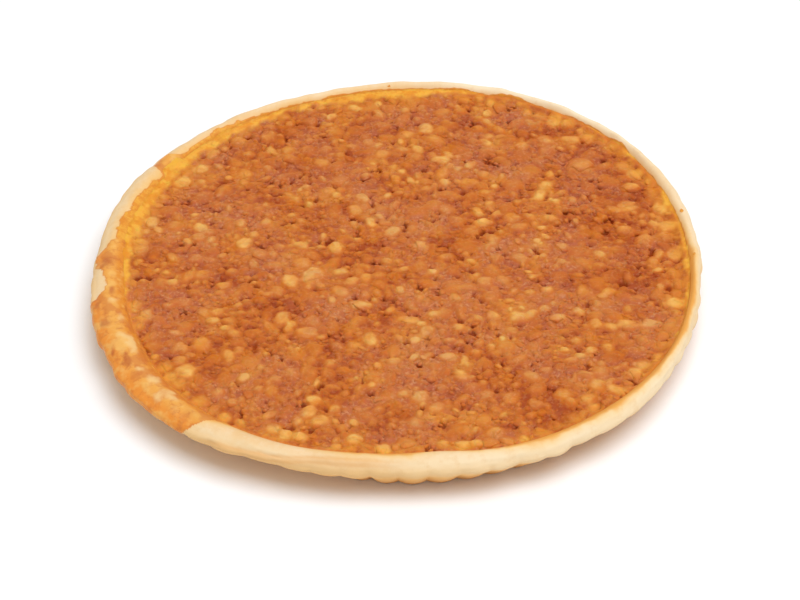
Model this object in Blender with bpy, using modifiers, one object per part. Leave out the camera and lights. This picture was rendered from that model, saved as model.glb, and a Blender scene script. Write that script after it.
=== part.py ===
# Macadamia pie: a shallow fluted pastry shell with a rolled rim, filled to the
# brim with chopped macadamias baked in caramel custard, and the largest nut
# pieces standing in it. One rigid body; units are metres, +Z is up, the origin
# is the middle of the flat base and -Y is the front.

import math

import bmesh
import bpy
import numpy as np
from mathutils import Vector, noise

MM = 0.001

# Crust
RIM_RADIUS = 120.4 * MM  # outermost line of the rolled rim, on average
RIM_HEIGHT = 18.0 * MM  # crest of the rim above the base
LIP_HEIGHT = 12.8 * MM  # height of that outermost line
BASE_RADIUS = 108.4 * MM  # flat underside
WALL_THICKNESS = 3.2 * MM  # the floor, and about the wall
FLUTES = 66  # ribs that the fluted tin left in the wall
FLUTE_DEPTH = 1.9 * MM
TURN_STEPS = 4 * FLUTES  # four steps show each flute

# Filling
FILL_RADIUS = 111.4 * MM  # where the filling meets the rim, on average
FILL_HEIGHT = 14.8 * MM  # and how high it stands there
FLOOR_RADIUS = 100.0 * MM  # inside of the shell at its floor
DOME_RISE = 0.9 * MM  # the middle stands this much above the edge
BUMP_HEIGHT = 0.8 * MM  # unevenness of the baked top
BUMP_SIZE = 15.0 * MM
FILL_STEPS = 96
FILL_RINGS = 8
GAP = 0.35 * MM  # between touching pieces

# Hand-pressed unevenness: (waves in a turn, size, angle of the first high point)
RIM_WANDER = ((2, 1.8 * MM, 95), (3, 1.0 * MM, -138), (4, 1.4 * MM, -178), (5, 0.7 * MM, 54))
FILL_WANDER = ((1, 4.1 * MM, 22), (2, 1.5 * MM, 148), (3, 0.6 * MM, -137), (4, 1.2 * MM, -162))
RIM_LIFT = ((2, 0.25 * MM, 30), (5, 0.2 * MM, 80), (9, 0.15 * MM, 10))
FILL_LIFT = ((1, 1.2 * MM, 35), (3, 0.25 * MM, 120))

# Largest nut pieces: (angle, distance from the axis, length, width, height, turn)
NUTS = (
    (40, 97.0 * MM, 14.0 * MM, 11.0 * MM, 7.5 * MM, 35),
    (27, 104.5 * MM, 9.5 * MM, 7.5 * MM, 5.5 * MM, -10),
    (12, 91.5 * MM, 8.5 * MM, 8.0 * MM, 6.0 * MM, 0),
    (36, 41.5 * MM, 10.5 * MM, 6.0 * MM, 5.5 * MM, 10),
    (114, 57.5 * MM, 9.5 * MM, 8.5 * MM, 6.0 * MM, 20),
    (49, 13.0 * MM, 8.0 * MM, 7.5 * MM, 6.5 * MM, -20),
    (193, 34.0 * MM, 12.5 * MM, 10.5 * MM, 7.0 * MM, 60),
    (-36, 56.0 * MM, 10.5 * MM, 8.5 * MM, 6.0 * MM, -40),
    (-70, 102.5 * MM, 8.5 * MM, 7.5 * MM, 6.0 * MM, 15),
    (-21, 101.5 * MM, 10.0 * MM, 6.0 * MM, 5.5 * MM, 5),
    (76, 68.5 * MM, 10.5 * MM, 7.0 * MM, 5.5 * MM, -25),
    (-71, 58.5 * MM, 10.0 * MM, 6.0 * MM, 5.5 * MM, 0),
)
NUT_SUNK = 0.30  # share of a piece's height that its middle lies below the top


def clear_scene():
    for old in list(bpy.data.objects):
        bpy.data.objects.remove(old, do_unlink=True)


def new_collection(name):
    collection = bpy.data.collections.new(name)
    bpy.context.scene.collection.children.link(collection)
    return collection


def principled(name, colour, roughness):
    material = bpy.data.materials.new(name)
    material.use_nodes = True
    shader = material.node_tree.nodes["Principled BSDF"]
    shader.inputs["Base Color"].default_value = (*colour, 1.0)
    shader.inputs["Roughness"].default_value = roughness
    shader.inputs["Metallic"].default_value = 0.0
    material.diffuse_color = (*colour, 1.0)
    return material


def add_object(name, mesh, collection, material=None):
    piece = bpy.data.objects.new(name, mesh)
    collection.objects.link(piece)
    if material:
        mesh.materials.append(material)
    return piece


def waves(angle, terms):
    """Sum of cosines: each term's size times cos(waves * (angle) - start)."""
    return sum(size * np.cos(count * angle - math.radians(start)) for count, size, start in terms)


def ease(value, low, high):
    share = np.clip((value - low) / (high - low), 0.0, 1.0)
    return share * share * (3.0 - 2.0 * share)


def crust_profile():
    """Half section (radius, height): middle of the floor, over the rim, to the middle of the base."""
    return (
        (0.0, WALL_THICKNESS),
        (FLOOR_RADIUS, WALL_THICKNESS),
        (FILL_RADIUS, FILL_HEIGHT),
        (FILL_RADIUS + 2.2 * MM, RIM_HEIGHT - 0.8 * MM),
        (FILL_RADIUS + 4.6 * MM, RIM_HEIGHT),
        (RIM_RADIUS - 0.9 * MM, LIP_HEIGHT + 2.5 * MM),
        (RIM_RADIUS, LIP_HEIGHT),
        (RIM_RADIUS - 2.8 * MM, LIP_HEIGHT - 2.7 * MM),
        (BASE_RADIUS + 0.8 * MM, 0.8 * MM),
        (BASE_RADIUS, 0.0),
        (0.0, 0.0),
    )


def inner_radius(height):
    """Inside of the shell at a height, before it is made uneven."""
    return np.interp(height, (WALL_THICKNESS, FILL_HEIGHT), (FLOOR_RADIUS, FILL_RADIUS))


def outer_radius(height):
    """Outside of the shell at a height, before it is made uneven."""
    outside = crust_profile()[-2:5:-1]  # base corner up to the lip
    return np.interp(height, [z for _, z in outside], [r for r, _ in outside])


def settle(points):
    """Takes points of the perfect round pie to the uneven one.

    The rim's outer line and the filling's edge wander on their own waves, and
    what lies between them is blended. The floor and the base stay true. The
    flutes are pressed into the outside only and fade out towards the crest.
    """
    x, y, z = points.T
    radius = np.hypot(x, y)
    angle = np.arctan2(y, x)
    inside = inner_radius(z)
    across = np.where(
        z > FILL_HEIGHT,
        (radius - FILL_RADIUS) / (RIM_RADIUS - FILL_RADIUS),
        (radius - inside) / np.maximum(outer_radius(z) - inside, MM),
    )
    across = np.clip(across, 0.0, 1.0)
    height_share = ease(z, 4.0 * MM, FILL_HEIGHT - 1.0 * MM)
    from_axis = np.clip(radius / inside, 0.0, 1.0)

    inner_shift = waves(angle, FILL_WANDER) * from_axis
    outer_shift = waves(angle, RIM_WANDER)
    shift = height_share * ((1.0 - across) * inner_shift + across * outer_shift)
    inner_lift = waves(angle, FILL_LIFT) * from_axis
    outer_lift = waves(angle, RIM_LIFT)
    lift = height_share * ((1.0 - across) * inner_lift + across * outer_lift)

    uneven = angle + 0.011 * np.sin(5.0 * angle + 0.7) + 0.008 * np.sin(11.0 * angle)
    groove = 0.5 - 0.5 * np.cos(FLUTES * uneven)
    fade = np.interp(z, (7.0 * MM, LIP_HEIGHT, RIM_HEIGHT), (1.0, 0.25, 0.0))
    shift = shift - FLUTE_DEPTH * groove * fade * ease(across, 0.8, 1.0)

    radius = radius + shift
    return np.column_stack((radius * np.cos(angle), radius * np.sin(angle), z + lift))


def turned_mesh(name, profile, steps):
    """Turns a half section about Z with a Screw modifier and returns the closed mesh."""
    outline = bpy.data.meshes.new(name)
    edges = [(i, i + 1) for i in range(len(profile) - 1)]
    outline.from_pydata([(r, 0.0, z) for r, z in profile], edges, [])
    guide = add_object(name + "_guide", outline, bpy.context.scene.collection)
    screw = guide.modifiers.new("Turn", "SCREW")
    screw.axis = "Z"
    screw.angle = math.tau
    screw.steps = screw.render_steps = steps
    screw.use_merge_vertices = True
    screw.merge_threshold = 0.00001
    evaluated = guide.evaluated_get(bpy.context.evaluated_depsgraph_get())
    mesh = bpy.data.meshes.new_from_object(evaluated)
    mesh.name = name
    bpy.data.objects.remove(guide, do_unlink=True)
    weld(mesh)
    return mesh


def weld(mesh):
    shape = bmesh.new()
    shape.from_mesh(mesh)
    bmesh.ops.remove_doubles(shape, verts=shape.verts, dist=0.00001)
    shape.to_mesh(mesh)
    shape.free()


def move_points(mesh, rule):
    """Replaces the mesh's points by rule(points)."""
    flat = np.empty(len(mesh.vertices) * 3, dtype=np.float32)
    mesh.vertices.foreach_get("co", flat)
    moved = rule(flat.reshape(-1, 3).astype(float))
    mesh.vertices.foreach_set("co", moved.astype(np.float32).ravel())
    mesh.update()


def bump(x, y):
    """Unevenness of the baked top: two sizes of smooth noise."""
    broad = noise.noise(Vector((x / BUMP_SIZE, y / BUMP_SIZE, 3.1)))
    small = noise.noise(Vector((2.3 * x / BUMP_SIZE, 2.3 * y / BUMP_SIZE, 7.7)))
    return BUMP_HEIGHT * (broad + 0.5 * small)


def top_height(x, y):
    """Height of the filling's top over a point of the uneven pie."""
    share = min(math.hypot(x, y) / FILL_RADIUS, 1.0)
    calm_edge = float(ease(1.0 - share, 0.0, 0.08))
    dome = DOME_RISE * (1.0 - share * share)
    lean = float(waves(math.atan2(y, x), FILL_LIFT)) * share
    return FILL_HEIGHT - 0.1 * MM + dome + lean + calm_edge * bump(x, y)


def make_crust(collection):
    mesh = turned_mesh("crust", crust_profile(), TURN_STEPS)
    move_points(mesh, settle)
    mesh.shade_smooth()
    mesh.set_sharp_from_angle(angle=math.radians(50))
    return add_object("crust", mesh, collection, principled("pastry", (0.87, 0.62, 0.33), 0.75))


def fill_profile():
    """Half section of the filling, from the middle of its top down to that of its underside."""
    side_gap = 1.5 * GAP  # level gap that keeps GAP square to the sloping wall
    low = WALL_THICKNESS + GAP
    edge = FILL_HEIGHT - 0.1 * MM
    edge_radius = inner_radius(edge) - side_gap
    top = []
    for ring in range(FILL_RINGS + 1):
        share = (ring / FILL_RINGS) ** 0.75
        top.append((edge_radius * share, edge + DOME_RISE * (1.0 - share * share)))
    return (*top, (inner_radius(low) - side_gap, low), (0.0, low))


def make_filling(collection):
    def shape(points):
        settled = settle(points)
        on_top = points[:, 2] > FILL_HEIGHT - 0.2 * MM
        reach = np.clip(np.hypot(points[:, 0], points[:, 1]) / FILL_RADIUS, 0.0, 1.0)
        calm_edge = ease(1.0 - reach, 0.0, 0.08)
        rise = np.array([bump(x, y) for x, y in settled[:, :2]])
        settled[:, 2] += np.where(on_top, calm_edge * rise, 0.0)
        return settled

    mesh = turned_mesh("filling", fill_profile(), FILL_STEPS)
    move_points(mesh, shape)
    mesh.shade_flat()
    return add_object("filling", mesh, collection, principled("nut_custard", (0.56, 0.17, 0.04), 0.45))


def nut_mesh(name, size, grow, seed):
    """Rounded chunk: a round block with knocked-in sides, enlarged by grow on every side."""
    chunk = bmesh.new()
    bmesh.ops.create_icosphere(chunk, subdivisions=2, radius=1.0)
    half = Vector(size) / 2.0
    for point in chunk.verts:
        knock = 1.0 + 0.22 * noise.noise(point.co * 1.1 + Vector((0.0, 0.0, 5.3 * seed)))
        squared = Vector([math.copysign(abs(c) ** 0.8, c) for c in point.co])
        outward = Vector([c / h for c, h in zip(point.co, half)]).normalized()
        place = Vector([c * h * knock * 0.95 for c, h in zip(squared, half)])
        point.co = place + outward * grow
    mesh = bpy.data.meshes.new(name)
    chunk.to_mesh(mesh)
    chunk.free()
    mesh.shade_smooth()
    return mesh


def make_nuts(filling, collection, cutters):
    """Sets each large piece in a pocket of the filling that is wider by the gap."""
    material = principled("macadamia", (0.78, 0.42, 0.12), 0.4)
    for number, (angle, distance, length, width, height, turn) in enumerate(NUTS, start=1):
        name = f"nut_{number:02d}"
        x = distance * math.cos(math.radians(angle))
        y = distance * math.sin(math.radians(angle))
        place = (x, y, top_height(x, y) - NUT_SUNK * height)
        size = (length, width, height)
        nut = add_object(name, nut_mesh(name, size, 0.0, number), collection, material)
        cutter = add_object(name + "_pocket", nut_mesh(name + "_pocket", size, GAP, number), cutters)
        for piece in (nut, cutter):
            piece.location = place
            piece.rotation_euler = (0.0, 0.0, math.radians(turn))
        cutter.hide_render = True
        cutter.display_type = "WIRE"
        pocket = filling.modifiers.new(name + "_pocket", "BOOLEAN")
        pocket.operation = "DIFFERENCE"
        pocket.solver = "EXACT"
        pocket.object = cutter


def build():
    clear_scene()
    pie = new_collection("macadamia_pie")
    cutters = new_collection("cutters")
    make_crust(pie)
    filling = make_filling(pie)
    make_nuts(filling, pie, cutters)


build()
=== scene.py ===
import math

import bmesh
import bpy
import numpy as np
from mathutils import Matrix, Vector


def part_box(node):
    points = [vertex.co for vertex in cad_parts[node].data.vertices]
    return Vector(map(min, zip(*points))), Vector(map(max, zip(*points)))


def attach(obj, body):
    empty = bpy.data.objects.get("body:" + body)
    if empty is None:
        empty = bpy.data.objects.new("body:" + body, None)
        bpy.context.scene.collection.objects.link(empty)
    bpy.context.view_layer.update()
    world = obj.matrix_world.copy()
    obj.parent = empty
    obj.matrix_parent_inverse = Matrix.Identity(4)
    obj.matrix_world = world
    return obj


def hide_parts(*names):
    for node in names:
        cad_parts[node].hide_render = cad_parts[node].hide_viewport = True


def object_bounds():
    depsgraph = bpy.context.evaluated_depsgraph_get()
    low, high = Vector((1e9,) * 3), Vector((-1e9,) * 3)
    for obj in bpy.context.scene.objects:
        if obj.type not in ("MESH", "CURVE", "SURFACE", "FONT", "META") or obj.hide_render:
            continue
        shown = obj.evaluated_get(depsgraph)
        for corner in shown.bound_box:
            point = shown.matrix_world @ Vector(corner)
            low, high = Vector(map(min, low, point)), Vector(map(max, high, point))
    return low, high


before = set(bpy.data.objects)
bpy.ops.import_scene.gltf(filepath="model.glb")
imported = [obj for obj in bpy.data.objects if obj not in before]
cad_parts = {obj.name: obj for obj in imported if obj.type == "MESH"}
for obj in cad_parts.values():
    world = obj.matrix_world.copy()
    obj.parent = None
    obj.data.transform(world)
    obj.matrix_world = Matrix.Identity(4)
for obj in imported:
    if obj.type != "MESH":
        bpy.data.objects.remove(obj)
cadBox = [list(corner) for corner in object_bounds()]
mm = 0.001
print("frame loaded")


pie = {
    "rimRadius": 120.4 * mm,  # outermost line of the rim, on average
    "lipHeight": 12.8 * mm,  # height of that line
    "rimHeight": 18.0 * mm,  # crest of the rim
    "fillRadius": 111.4 * mm,  # where filling and rim meet, on average
    "fillHeight": 14.8 * mm,
    "domeRise": 0.9 * mm,
    # unevenness: (waves in a turn, size, angle of the first high point)
    "rimWander": ((2, 1.8 * mm, 95), (3, 1.0 * mm, -138), (4, 1.4 * mm, -178), (5, 0.7 * mm, 54)),
    "fillWander": ((1, 4.1 * mm, 22), (2, 1.5 * mm, 148), (3, 0.6 * mm, -137), (4, 1.2 * mm, -162)),
    "rimLift": ((2, 0.25 * mm, 30), (5, 0.2 * mm, 80), (9, 0.15 * mm, 10)),
    "fillLift": ((1, 1.2 * mm, 35), (3, 0.25 * mm, 120)),
    # places where the pastry leans in over the filling: (angle, half width in degrees, how far)
    "leanIn": ((-83, 8, 2.6 * mm), (-97, 9, 1.6 * mm), (-45, 14, 0.8 * mm)),
    # rise past the filling's edge, of its own top and of the pastry's inner wall: (mm past it, mm up)
    "climbSection": ((-6.0, 0.0), (-3.0, 0.35), (-1.0, 1.05), (0.8, 2.1), (2.6, 3.0), (4.4, 3.4)),
    "wallSection": ((0.0, 0.0), (1.1, 1.3), (2.6, 2.5), (4.4, 3.0)),
    # how strongly the filling climbs the pastry's inner wall: (angle, share)
    "climb": ((-180, 0.5), (-168, 0.1), (-110, 0.0), (-60, 0.05), (-20, 0.3), (10, 0.5), (78, 0.6),
              (100, 0.4), (130, 0.5), (168, 0.6), (180, 0.5)),
    # how far custard has run out over the rim, measured along it from the filling: (angle, mm)
    "spill": ((-180, 10), (-177.8, 9.5), (-176, 7.5), (-174, 6.2), (-172, 5.6), (-170, 6.4),
              (-168.5, 9.5), (-167, 14), (-129.4, 14), (-128, 9.1), (-127, 6.6), (-125.8, 3.6),
              (-124, 3.0), (-122, 0.2), (-118, -0.8), (-92, -1.6), (-80, -1.5), (-72, 0.6), (-50, 1.6),
              (-20, 2.2), (-8, 1.7), (6, 1.6), (10, 1.2), (22, 1.4), (32, 0.2), (35, -0.6), (39, 3.2),
              (43, 0.4), (52, 1.3), (59, -0.4), (66.5, 2.8), (71, 0.2), (77, 2.0), (84, 1.5),
              (100, 2.1), (110, 1.3), (118, 1.6), (124, 2.9), (132, 4.2), (139, 2.9), (143, 2.8),
              (144.8, 8), (149, 8.5), (150.2, 2.4), (157, 3.7), (163, 4.4), (168, 5.6), (174, 5.2),
              (177, 7.2), (178.5, 9.6), (180, 10)),
    # how much of that run the filling itself makes; the rest is film on the pastry: (angle, share)
    "cover": ((-180, 0.4), (-171, 0.05), (-120, 0.05), (-66, 0.2), (-30, 0.8), (-10, 1), (172, 1),
              (180, 0.4)),
    "coverShare": 0.62,  # of the run, where the filling makes all of it
    "coverLeast": 0.5,  # mm
    "coverMost": 4.2,  # mm
    "coverRagged": (0.4, 34.0, 32),  # uneven end: (size in mm, radius of the circle of noise, seed)
    # width of the bare custard inside the pastry: (angle, mm)
    "custard": ((-180, 1.4), (-174, 0.6), (-168, -0.6), (-162, -1.6), (-24, -1.6), (-14, -0.4),
                (0, 0.4), (20, 0.2), (32, -1.4), (37, -0.4), (42, -0.6), (50, -1.6), (72, -1.8),
                (79, 0.8), (86, 2.8), (99, 3.2), (108, 1.8), (115, 0.4), (121, 1.8), (135, 1.9),
                (150, 1.7), (158, 1.3), (166, 0.8), (172, 0.6), (180, 1.4)),
    "custardRagged": (0.7, 16.0, 31),  # its uneven edge
}


def waves(angle, terms):  # sum of size * cos(count * angle - start)
    return sum(size * np.cos(count * angle - math.radians(start)) for count, size, start in terms)


def ease(value, low, high):  # 0 below low, 1 above high, smooth between
    share = np.clip((value - low) / (high - low), 0.0, 1.0)
    return share * share * (3.0 - 2.0 * share)


def degreesFrom(angle, centre):  # turn from a centre given in degrees, between -180 and 180
    return (np.degrees(angle) - centre + 180.0) % 360.0 - 180.0


def hump(angle, centre, width):  # bell round an angle in degrees, 1 at its centre
    return np.exp(-((degreesFrom(angle, centre) / width) ** 2))


def stretch(angle, start, full, fading, end):  # 0 to 1 from start to full, back to 0 from fading to end
    rise = ease(angle, math.radians(start), math.radians(full))
    return rise * (1.0 - ease(angle, math.radians(fading), math.radians(end)))


def latticeNoise(x, y, z, seed):  # random values on a unit lattice, eased between corners, -1 to 1
    cell = [np.floor(value).astype(np.int64) for value in (x, y, z)]
    part = [value - low for value, low in zip((x, y, z), cell)]
    part = [t * t * t * (t * (t * 6.0 - 15.0) + 10.0) for t in part]
    total = 0.0
    for corner in range(8):
        step = [corner & 1, (corner >> 1) & 1, (corner >> 2) & 1]
        # large odd numbers stir the corner's place and the seed into one 31-bit number
        key = (cell[0] + step[0]) * 73856093 ^ (cell[1] + step[1]) * 19349663
        key = (key ^ (cell[2] + step[2]) * 83492791 ^ (seed * 7919 + 13)) & 0x7FFFFFFF
        key = ((key ^ (key >> 15)) * 2246822519) & 0x7FFFFFFF
        key = ((key ^ (key >> 13)) * 3266489917) & 0x7FFFFFFF
        key = key ^ (key >> 16)
        weight = 1.0
        for t, s in zip(part, step):
            weight = weight * (t if s else 1.0 - t)
        total = total + weight * (key / 1073741823.5 - 1.0)  # half the largest key, so -1 to 1
    return total


def cloudNoise(x, y, z, size, seed, octaves=3):  # lattice noise summed at size, size/2, size/4...
    total, strength = 0.0, 1.0
    for octave in range(octaves):
        scale = 2.03**octave / size
        total = total + strength * latticeNoise(x * scale, y * scale, z * scale, seed + 17 * octave)
        strength *= 0.5
    return total


def fillEdge(angle):  # radius where the filling meets the pastry
    edge = pie["fillRadius"] + waves(angle, pie["fillWander"])
    for centre, width, reach in pie["leanIn"]:
        edge = edge - reach * hump(angle, centre, width)
    return edge


def rimEdge(angle):  # radius of the rim's outermost line
    return pie["rimRadius"] + waves(angle, pie["rimWander"])


def joined(value, knots):  # a list of (place, value) joined by straight lines
    return np.interp(value, [place for place, _ in knots], [height for _, height in knots])


def around(angle, knots):  # the same, with its places in degrees round the pie
    return np.interp(angle, np.radians([place for place, _ in knots]), [height for _, height in knots])


def wrapped(angle):  # the same direction between minus and plus half a turn
    return (angle + math.pi) % math.tau - math.pi


def ragged(angle, rule):  # size * lattice noise read on a circle, so that it closes
    size, circle, seed = rule
    return size * latticeNoise(np.cos(angle) * circle, np.sin(angle) * circle, 0.5, seed)


def climbReach(angle):  # how far past its edge the filling ends: a limited share of the run, made ragged
    least = pie["coverLeast"]
    run = np.clip(pie["coverShare"] * around(angle, pie["spill"]), least, pie["coverMost"]) - least
    run = np.maximum(run + ragged(angle, pie["coverRagged"]), 0.0)
    return (least + run * around(angle, pie["cover"])) * mm


def bandReach(angle):  # how far bare custard shows inside the pastry's edge: its width, made ragged
    return (around(angle, pie["custard"]) + ragged(angle, pie["custardRagged"])) * mm


def rimShare(past):  # 0 at the filling's edge, 1 at the rim's outermost line
    return np.clip(past / (pie["rimRadius"] - pie["fillRadius"]), 0.0, 1.0)


def fillTop(x, y):  # level of the filling: edge height + dome + lean + the climb over the pastry's wall
    angle, reach = np.arctan2(y, x), np.hypot(x, y)
    share = np.minimum(reach / pie["fillRadius"], 1.0)
    past = reach - fillEdge(angle)
    across = rimShare(past)
    lean = waves(angle, pie["fillLift"]) * share * (1.0 - across) + waves(angle, pie["rimLift"]) * across
    climb = joined(past / mm, pie["climbSection"]) * around(angle, pie["climb"])
    rise = np.maximum(climb, joined(past / mm, pie["wallSection"]))
    return pie["fillHeight"] + pie["domeRise"] * (1.0 - share * share) + lean + rise * mm


def makePiece(name, points, faces, material, fields):
    # a smooth mesh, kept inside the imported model's box, with each field stored as one number per point
    low, high = (np.array(corner) for corner in cadBox)
    mesh = bpy.data.meshes.new(name)
    mesh.from_pydata(np.clip(points, low, high).tolist(), [], faces)
    mesh.polygons.foreach_set("use_smooth", np.ones(len(mesh.polygons), dtype=bool))
    for label, values in fields.items():
        layer = mesh.attributes.new(label, "FLOAT", "POINT")
        layer.data.foreach_set("value", np.asarray(values, dtype=np.float32).ravel())
    mesh.materials.append(material)
    piece = bpy.data.objects.new(name, mesh)
    bpy.context.scene.collection.objects.link(piece)
    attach(piece, "root")
    print(f"{name}: {sum(len(face) - 2 for face in faces)} triangles")
    return piece


def ringFaces(rows, columns, firstPole, lastPole):  # quads between closed rings, a fan at each end
    here = np.arange(columns)
    after = (here + 1) % columns
    faces = []
    for row in range(rows - 1):
        low, high = row * columns, (row + 1) * columns
        faces += np.column_stack((low + here, high + here, high + after, low + after)).tolist()
    last = (rows - 1) * columns
    faces += np.column_stack((np.full(columns, firstPole), here, after)).tolist()
    faces += np.column_stack((np.full(columns, lastPole), last + after, last + here)).tolist()
    return faces


class Signal:  # one socket of a shader; arithmetic on it adds Math nodes
    def __init__(self, board, socket):
        self.board, self.socket = board, socket

    def combine(self, operation, other, flipped=False):
        pair = (other, self) if flipped else (self, other)
        return self.board.node("ShaderNodeMath", {"operation": operation}, dict(enumerate(pair)))

    def __add__(self, other):
        return self.combine("ADD", other)

    def __sub__(self, other):
        return self.combine("SUBTRACT", other)

    def __rsub__(self, other):
        return self.combine("SUBTRACT", other, True)

    def __mul__(self, other):
        return self.combine("MULTIPLY", other)

    __radd__, __rmul__ = __add__, __mul__

    def between(self, low, high):  # 0 at low, 1 at high, smooth between
        return self.board.node(
            "ShaderNodeMapRange", {"interpolation_type": "SMOOTHSTEP"},
            {"Value": self, "From Min": low, "From Max": high}, "Result")


class Board:  # a material's node tree
    def __init__(self, name, roughness, colours, **constants):
        self.paint = {finish: shade(*colour) for finish, colour in colours.items()}
        self.material = bpy.data.materials.new(name)
        self.material.use_nodes = True
        self.tree = self.material.node_tree
        self.shader = self.tree.nodes["Principled BSDF"]
        self.shader.inputs["Roughness"].default_value = roughness
        for label, value in constants.items():
            self.shader.inputs[label].default_value = value
        self.place = self.node("ShaderNodeTexCoord", {}, {}, "Object")

    def node(self, kind, settings, inputs, output=0):  # settings first, then values and links
        item = self.tree.nodes.new(kind)
        for label, value in settings.items():
            if label == "stops":
                ramp = item.color_ramp
                while len(ramp.elements) < len(value):
                    ramp.elements.new(0.5)
                for element, (position, colour) in zip(ramp.elements, value):
                    element.position, element.color = position, colour
            else:
                setattr(item, label, value)
        for label, value in inputs.items():
            socket = item.inputs[label]
            if isinstance(value, Signal):
                self.tree.links.new(value.socket, socket)
            else:
                socket.default_value = value
        return Signal(self, item.outputs[output])

    def field(self, label):  # a number stored on the mesh's points
        return self.node("ShaderNodeAttribute", {"attribute_name": label}, {}, "Fac")

    def noise(self, size, detail=2.0, rough=0.5):  # clouds with patches of about this size, 0 to 1
        return self.node("ShaderNodeTexNoise", {}, {
            "Vector": self.place, "Scale": 1.0 / size, "Detail": detail, "Roughness": rough}, "Fac")

    def mix(self, share, first, second):  # first colour or finish where share is 0, second where it is 1
        first, second = (self.paint[c] if isinstance(c, str) else c for c in (first, second))
        return self.node("ShaderNodeMix", {"data_type": "RGBA"}, {0: share, 6: first, 7: second}, 2)

    def coats(self, colour, shares):  # lays named finishes over a colour in turn, each by its own share
        for finish, share in shares.items():
            colour = self.mix(share, colour, finish)
        return colour

    def feed(self, label, value):  # into the shader itself
        self.tree.links.new(value.socket, self.shader.inputs[label])

    def bump(self, height, distance, strength):  # fine relief that only bends the light
        self.feed("Normal", self.node("ShaderNodeBump", {}, {
            "Strength": strength, "Distance": distance, "Height": height}))


studio = {
    "aim": (0.0006, -0.0052, 0.0),
    "elevation": 40.0,
    "distance": 1.0,
    "lens": 114.98,
    "sensor": 36.0,
    "skyStrength": 0.56,
    "skyColour": (1.0, 0.965, 0.89, 1.0),
    "keyPower": 99.0,
    "keyColour": (0.88, 0.93, 1.0),
    "keySize": 2.8,
    "keyPlace": (0.75, -0.4, 3.25),
    "floorColour": (0.93, 0.93, 0.935, 1.0),
    "floorRoughness": 0.8,
    "floorReach": 6.0,
    "white": 1.2,  # how much brighter than white a level white surface is under this light
}


def shade(red, green, blue):  # paint that looks like this sRGB colour (0 to 255) on a level surface
    channels = [value / 255.0 for value in (red, green, blue)]
    linear = [c / 12.92 if c <= 0.04045 else ((c + 0.055) / 1.055) ** 2.4 for c in channels]
    return (*[value / studio["white"] for value in linear], 1.0)


def makeStudio():  # a camera tilted down at the pie, soft sky, one large lamp and a pale floor
    scene = bpy.context.scene
    scene.view_settings.view_transform = "Standard"
    camera = bpy.data.objects.new("camera", bpy.data.cameras.new("camera"))
    scene.collection.objects.link(camera)
    camera.data.lens = studio["lens"]
    camera.data.sensor_width = studio["sensor"]
    rise = math.radians(studio["elevation"])
    (x, y, z), distance = studio["aim"], studio["distance"]
    camera.location = (x, y - distance * math.cos(rise), z + distance * math.sin(rise))
    camera.rotation_euler = (math.pi / 2 - rise, 0.0, 0.0)
    scene.camera = camera

    world = bpy.data.worlds.new("soft_sky")
    world.use_nodes = True
    sky = world.node_tree.nodes["Background"]
    sky.inputs["Color"].default_value = studio["skyColour"]
    sky.inputs["Strength"].default_value = studio["skyStrength"]
    scene.world = world

    key = bpy.data.lights.new("key", "AREA")
    key.energy, key.size, key.color = studio["keyPower"], studio["keySize"], studio["keyColour"]
    lamp = bpy.data.objects.new("key", key)
    scene.collection.objects.link(lamp)
    lamp.location = studio["keyPlace"]
    toMiddle = -lamp.location
    lamp.rotation_euler = toMiddle.to_track_quat("-Z", "Y").to_euler()

    floorMesh = bpy.data.meshes.new("floor")
    reach = studio["floorReach"]
    corners = [(-reach, -reach, 0), (reach, -reach, 0), (reach, reach, 0), (-reach, reach, 0)]
    floorMesh.from_pydata(corners, [], [(0, 1, 2, 3)])
    floor = bpy.data.objects.new("floor", floorMesh)
    scene.collection.objects.link(floor)
    paint = Board("floor_paint", studio["floorRoughness"], {})
    paint.shader.inputs["Base Color"].default_value = studio["floorColour"]
    floorMesh.materials.append(paint.material)
    print("studio ready")


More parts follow.
